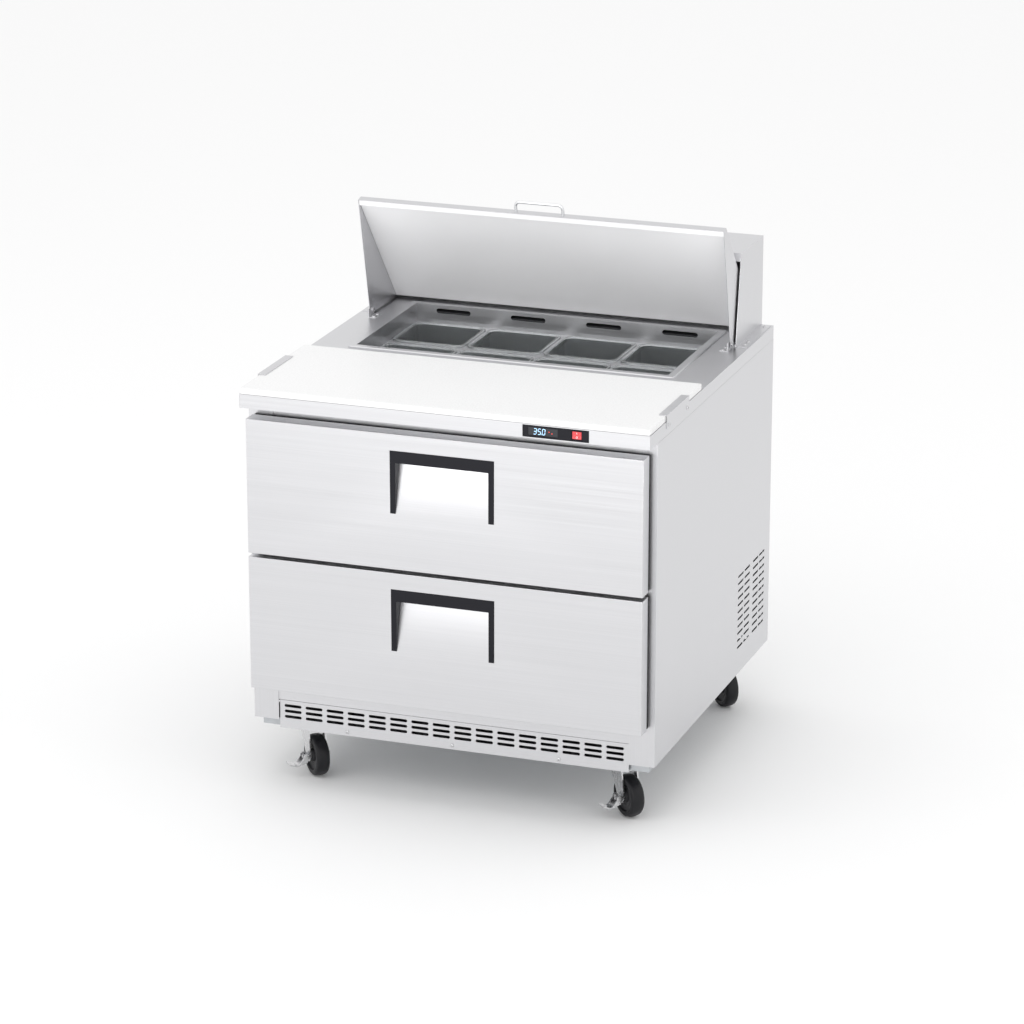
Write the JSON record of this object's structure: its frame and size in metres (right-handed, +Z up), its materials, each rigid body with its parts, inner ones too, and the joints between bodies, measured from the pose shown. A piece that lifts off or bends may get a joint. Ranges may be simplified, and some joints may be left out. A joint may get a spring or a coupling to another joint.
{
  "type": "sandwich prep table",
  "caption": "Refrigerated sandwich prep table on swivel casters, with full-width drawers, a cutting board, a well of small food pans and a lid hinged under a rear hood.",
  "frame": {"origin": "on the floor, under the middle of the footprint, midway between the front and back edges of the worktop", "axes": "+X to the right of a person standing at the cutting board, +Y to the back, +Z up; stored with the lid open and the drawers shut"},
  "size_m": [0.9128, 0.8942, 1.1889],
  "materials": {
    "stainless": "satin",
    "liner": "satin",
    "galvanised": "satin",
    "black_plastic": "matte",
    "gasket": "matte",
    "board": "matte",
    "clear_plastic": "gloss",
    "display": "gloss",
    "switch": "gloss",
    "foam": "matte",
    "zinc": "satin",
    "wheel": "satin",
    "fin_stock": "satin",
    "compressor_paint": "satin",
    "fan_plastic": "matte"
  },
  "bodies": {
    "cabinet": {"back_panel": "galvanised", "base_frame": "galvanised", "board_clips": "stainless", "caster_plates": "zinc", "compressor": "compressor_paint", "condenser_coil": "fin_stock", "control_bezel": "black_plastic", "cord_gland": "black_plastic", "display_window": "display", "evaporator_coil": "fin_stock", "fan_motors": "galvanised", "front_frame": "stainless", "front_grille": "stainless", "hood": "stainless", "inner_liner": "liner", "insulation": "foam", "pan_rails": "stainless", "pan_well": "stainless", "panel_screws": "zinc", "pivot_brackets": "stainless", "pivot_pins": "zinc", "side_panel_left": "stainless", "side_panel_right": "stainless", "slide_rails": "galvanised", "worktop": "stainless"},
    "lid": {"lid_outer": "stainless", "lid_inner": "stainless", "lid_handle": "stainless"},
    "drawer_upper": {"drawer_front_upper": "stainless", "drawer_handle_upper": "black_plastic", "drawer_gasket_upper": "gasket", "drawer_frame_upper": "stainless"},
    "slide_upper": {"slide_middle_upper": "galvanised"},
    "drawer_lower": {"drawer_front_lower": "stainless", "drawer_handle_lower": "black_plastic", "drawer_gasket_lower": "gasket", "drawer_frame_lower": "stainless"},
    "slide_lower": {"slide_middle_lower": "galvanised"},
    "board": {"cutting_board": "board"},
    "switch": {"power_switch": "switch"},
    "evaporator_fan_rotor": {"evaporator_fan": "fan_plastic"},
    "condenser_fan_rotor": {"condenser_fan": "fan_plastic"},
    "pan_front_1_body": {"pan_front_1": "clear_plastic"},
    "pan_front_2_body": {"pan_front_2": "clear_plastic"},
    "pan_front_3_body": {"pan_front_3": "clear_plastic"},
    "pan_front_4_body": {"pan_front_4": "clear_plastic"},
    "pan_rear_1_body": {"pan_rear_1": "clear_plastic"},
    "pan_rear_2_body": {"pan_rear_2": "clear_plastic"},
    "pan_rear_3_body": {"pan_rear_3": "clear_plastic"},
    "pan_rear_4_body": {"pan_rear_4": "clear_plastic"},
    "swivel_front_left": {"caster_fork_front_left": "zinc"},
    "wheel_front_left": {"caster_wheel_front_left": "wheel"},
    "brake_front_left": {"caster_brake_front_left": "zinc"},
    "swivel_front_right": {"caster_fork_front_right": "zinc"},
    "wheel_front_right": {"caster_wheel_front_right": "wheel"},
    "brake_front_right": {"caster_brake_front_right": "zinc"},
    "swivel_rear_left": {"caster_fork_rear_left": "zinc"},
    "wheel_rear_left": {"caster_wheel_rear_left": "wheel"},
    "swivel_rear_right": {"caster_fork_rear_right": "zinc"},
    "wheel_rear_right": {"caster_wheel_rear_right": "wheel"}
  },
  "joints": [
    {"name": "lid_hinge", "type": "hinge", "parent": "cabinet", "child": "lid", "pos_m": [0, 0.228, 0.892], "axis": [-1, 0, 0], "range_deg": [-77, 0]},
    {"name": "drawer_upper_slide", "type": "slide", "parent": "cabinet", "child": "drawer_upper", "axis": [0, -1, 0], "range_m": [0, 0.45]},
    {"name": "slide_upper_travel", "type": "slide", "parent": "cabinet", "child": "slide_upper", "axis": [0, -1, 0], "range_m": [0, 0.225]},
    {"name": "drawer_lower_slide", "type": "slide", "parent": "cabinet", "child": "drawer_lower", "axis": [0, -1, 0], "range_m": [0, 0.45]},
    {"name": "slide_lower_travel", "type": "slide", "parent": "cabinet", "child": "slide_lower", "axis": [0, -1, 0], "range_m": [0, 0.225]},
    {"name": "board_slide", "type": "slide", "parent": "cabinet", "child": "board", "axis": [0, -1, 0], "range_m": [0, 0.25]},
    {"name": "switch_rock", "type": "hinge", "parent": "cabinet", "child": "switch", "pos_m": [0.294, -0.439, 0.865], "axis": [1, 0, 0], "range_deg": [-7, 7]},
    {"name": "evaporator_fan_spin", "type": "hinge", "parent": "cabinet", "child": "evaporator_fan_rotor", "pos_m": [0, 0.297, 0.56], "axis": [0, -1, 0], "continuous": true},
    {"name": "condenser_fan_spin", "type": "hinge", "parent": "cabinet", "child": "condenser_fan_rotor", "pos_m": [0.33, 0.32, 0.29], "axis": [1, 0, 0], "continuous": true},
    {"name": "pan_front_1_lift", "type": "slide", "parent": "cabinet", "child": "pan_front_1_body", "axis": [0, 0, 1], "range_m": [0, 0.13]},
    {"name": "pan_front_2_lift", "type": "slide", "parent": "cabinet", "child": "pan_front_2_body", "axis": [0, 0, 1], "range_m": [0, 0.13]},
    {"name": "pan_front_3_lift", "type": "slide", "parent": "cabinet", "child": "pan_front_3_body", "axis": [0, 0, 1], "range_m": [0, 0.13]},
    {"name": "pan_front_4_lift", "type": "slide", "parent": "cabinet", "child": "pan_front_4_body", "axis": [0, 0, 1], "range_m": [0, 0.13]},
    {"name": "pan_rear_1_lift", "type": "slide", "parent": "cabinet", "child": "pan_rear_1_body", "axis": [0, 0, 1], "range_m": [0, 0.085]},
    {"name": "pan_rear_2_lift", "type": "slide", "parent": "cabinet", "child": "pan_rear_2_body", "axis": [0, 0, 1], "range_m": [0, 0.085]},
    {"name": "pan_rear_3_lift", "type": "slide", "parent": "cabinet", "child": "pan_rear_3_body", "axis": [0, 0, 1], "range_m": [0, 0.085]},
    {"name": "pan_rear_4_lift", "type": "slide", "parent": "cabinet", "child": "pan_rear_4_body", "axis": [0, 0, 1], "range_m": [0, 0.085]},
    {"name": "caster_swivel_front_left", "type": "hinge", "parent": "cabinet", "child": "swivel_front_left", "pos_m": [-0.355, -0.311, 0.11], "axis": [0, 0, 1], "continuous": true},
    {"name": "caster_roll_front_left", "type": "hinge", "parent": "swivel_front_left", "child": "wheel_front_left", "pos_m": [-0.33454, -0.33294, 0.046], "axis": [0.7314, 0.682, 0], "continuous": true},
    {"name": "brake_lever_front_left", "type": "hinge", "parent": "swivel_front_left", "child": "brake_front_left", "pos_m": [-0.35502, -0.35204, 0.046], "axis": [0.682, -0.7314, 0], "range_deg": [0, 20]},
    {"name": "caster_swivel_front_right", "type": "hinge", "parent": "cabinet", "child": "swivel_front_right", "pos_m": [0.355, -0.311, 0.11], "axis": [0, 0, 1], "continuous": true},
    {"name": "caster_roll_front_right", "type": "hinge", "parent": "swivel_front_right", "child": "wheel_front_right", "pos_m": [0.37694, -0.33146, 0.046], "axis": [0.682, 0.7314, 0], "continuous": true},
    {"name": "brake_lever_front_right", "type": "hinge", "parent": "swivel_front_right", "child": "brake_front_right", "pos_m": [0.35785, -0.35194, 0.046], "axis": [0.7314, -0.682, 0], "range_deg": [0, 20]},
    {"name": "caster_swivel_rear_left", "type": "hinge", "parent": "cabinet", "child": "swivel_rear_left", "pos_m": [-0.355, 0.389, 0.11], "axis": [0, 0, 1], "continuous": true},
    {"name": "caster_roll_rear_left", "type": "hinge", "parent": "swivel_rear_left", "child": "wheel_rear_left", "pos_m": [-0.33653, 0.36536, 0.046], "axis": [0.788, 0.6157, 0], "continuous": true},
    {"name": "caster_swivel_rear_right", "type": "hinge", "parent": "cabinet", "child": "swivel_rear_right", "pos_m": [0.355, 0.389, 0.11], "axis": [0, 0, 1], "continuous": true},
    {"name": "caster_roll_rear_right", "type": "hinge", "parent": "swivel_rear_right", "child": "wheel_rear_right", "pos_m": [0.37584, 0.36742, 0.046], "axis": [0.7193, 0.6947, 0], "continuous": true}
  ],
  "couplings": [
    {"joint": "slide_upper_travel", "follows": "drawer_upper_slide", "ratio": 0.5},
    {"joint": "slide_lower_travel", "follows": "drawer_lower_slide", "ratio": 0.5}
  ]
}
